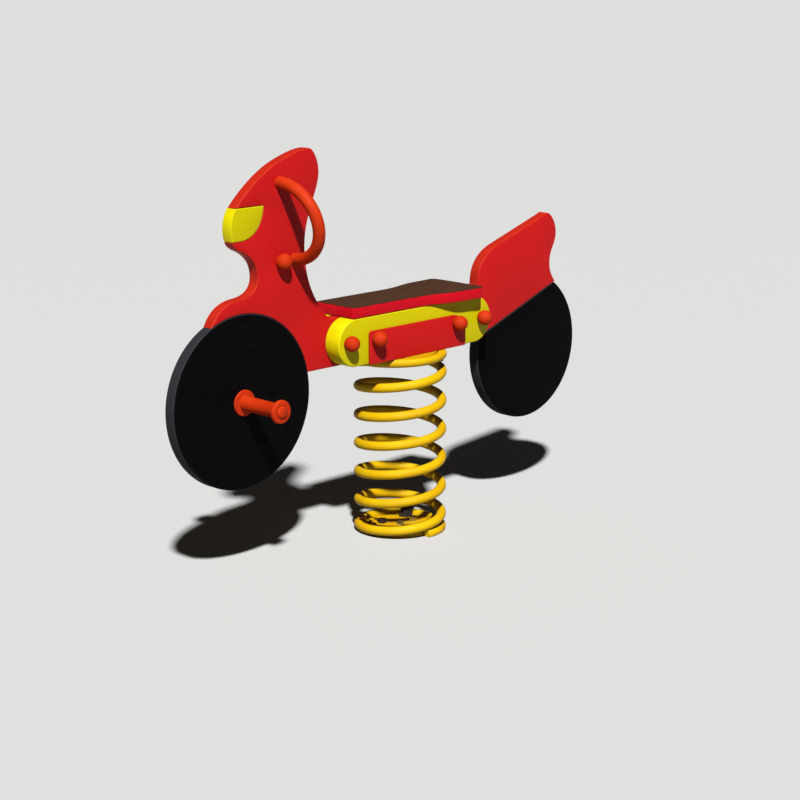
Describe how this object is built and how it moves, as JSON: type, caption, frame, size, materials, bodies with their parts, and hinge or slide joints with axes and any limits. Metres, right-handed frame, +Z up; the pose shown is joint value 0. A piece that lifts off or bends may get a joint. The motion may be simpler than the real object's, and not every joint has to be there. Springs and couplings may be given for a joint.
{
  "type": "spring rider",
  "caption": "Motorbike-shaped playground spring rider: flat red, yellow and black boards with a seat, round handles and foot pegs on one large yellow coil spring.",
  "frame": {"origin": "on the ground under the axis of the coil spring, at the centre of the base plate's lower face", "axes": "+Z up, -Y towards the front wheel, +X towards the rider's left"},
  "size_m": [0.2644, 1.1914, 0.8463],
  "materials": {
    "yellow_steel": "powder coated, semi-gloss",
    "zinc_steel": "zinc plated",
    "yellow_board": "solid coloured board, satin",
    "red_board": "solid coloured board, satin",
    "black_board": "solid coloured board, satin",
    "seat_cover": "brown non-slip sheet, matt",
    "handle_coating": "smooth coated tube",
    "red_plastic": "moulded, semi-gloss"
  },
  "bodies": {
    "ground": {"base_plate": "yellow_steel", "centre_plug": "zinc_steel", "anchor_bolt_1": "zinc_steel", "anchor_bolt_2": "zinc_steel", "anchor_bolt_3": "zinc_steel", "base_claw_1": "yellow_steel", "base_claw_2": "yellow_steel", "base_claw_bolt_1": "zinc_steel", "base_claw_bolt_2": "zinc_steel"},
    "coil": {"coil_spring": "yellow_steel"},
    "rider": {"top_plate": "yellow_steel", "top_claw_1": "yellow_steel", "top_claw_2": "yellow_steel", "top_claw_bolt_1": "zinc_steel", "top_claw_bolt_2": "zinc_steel", "side_beam_left": "yellow_board", "side_beam_right": "yellow_board", "side_panel_left": "red_board", "side_panel_right": "red_board", "through_bolt_1": "zinc_steel", "through_bolt_2": "zinc_steel", "through_bolt_3": "zinc_steel", "through_bolt_4": "zinc_steel", "ball_cap_left_1": "red_plastic", "ball_cap_right_1": "red_plastic", "ball_cap_left_2": "red_plastic", "ball_cap_right_2": "red_plastic", "ball_cap_left_3": "red_plastic", "ball_cap_right_3": "red_plastic", "ball_cap_left_4": "red_plastic", "ball_cap_right_4": "red_plastic", "ball_cap_left_5": "red_plastic", "ball_cap_right_5": "red_plastic", "front_panel": "red_board", "headlight": "yellow_board", "headlight_pin": "zinc_steel", "front_wheel": "black_board", "front_wheel_dowel_1": "zinc_steel", "front_wheel_dowel_2": "zinc_steel", "rear_panel": "red_board", "rear_wheel": "black_board", "rear_wheel_dowel_1": "zinc_steel", "rear_wheel_dowel_2": "zinc_steel", "seat_board": "red_board", "seat_cover": "seat_cover", "seat_stud_1": "zinc_steel", "seat_stud_2": "zinc_steel", "seat_stud_3": "zinc_steel", "seat_stud_4": "zinc_steel", "handle_left": "handle_coating", "handle_right": "handle_coating", "handle_stud_upper": "zinc_steel", "handle_stud_lower": "zinc_steel", "chin_bolt": "zinc_steel", "foot_peg_left": "red_plastic", "foot_peg_right": "red_plastic", "peg_axle": "zinc_steel", "peg_plug_left": "red_plastic", "peg_plug_right": "red_plastic"}
  },
  "joints": [
    {"name": "rock", "type": "hinge", "parent": "ground", "child": "coil", "pos_m": [0, 0, 0.13], "axis": [1, 0, 0], "range_deg": [-18, 18], "stiffness_Nm_per_rad": 460, "springref_deg": -1.15, "deforming": ["coil_spring"]},
    {"name": "sway", "type": "hinge", "parent": "coil", "child": "rider", "pos_m": [0, 0, 0.27], "axis": [0, 1, 0], "range_deg": [-12, 12], "stiffness_Nm_per_rad": 460, "deforming": ["coil_spring"]}
  ]
}
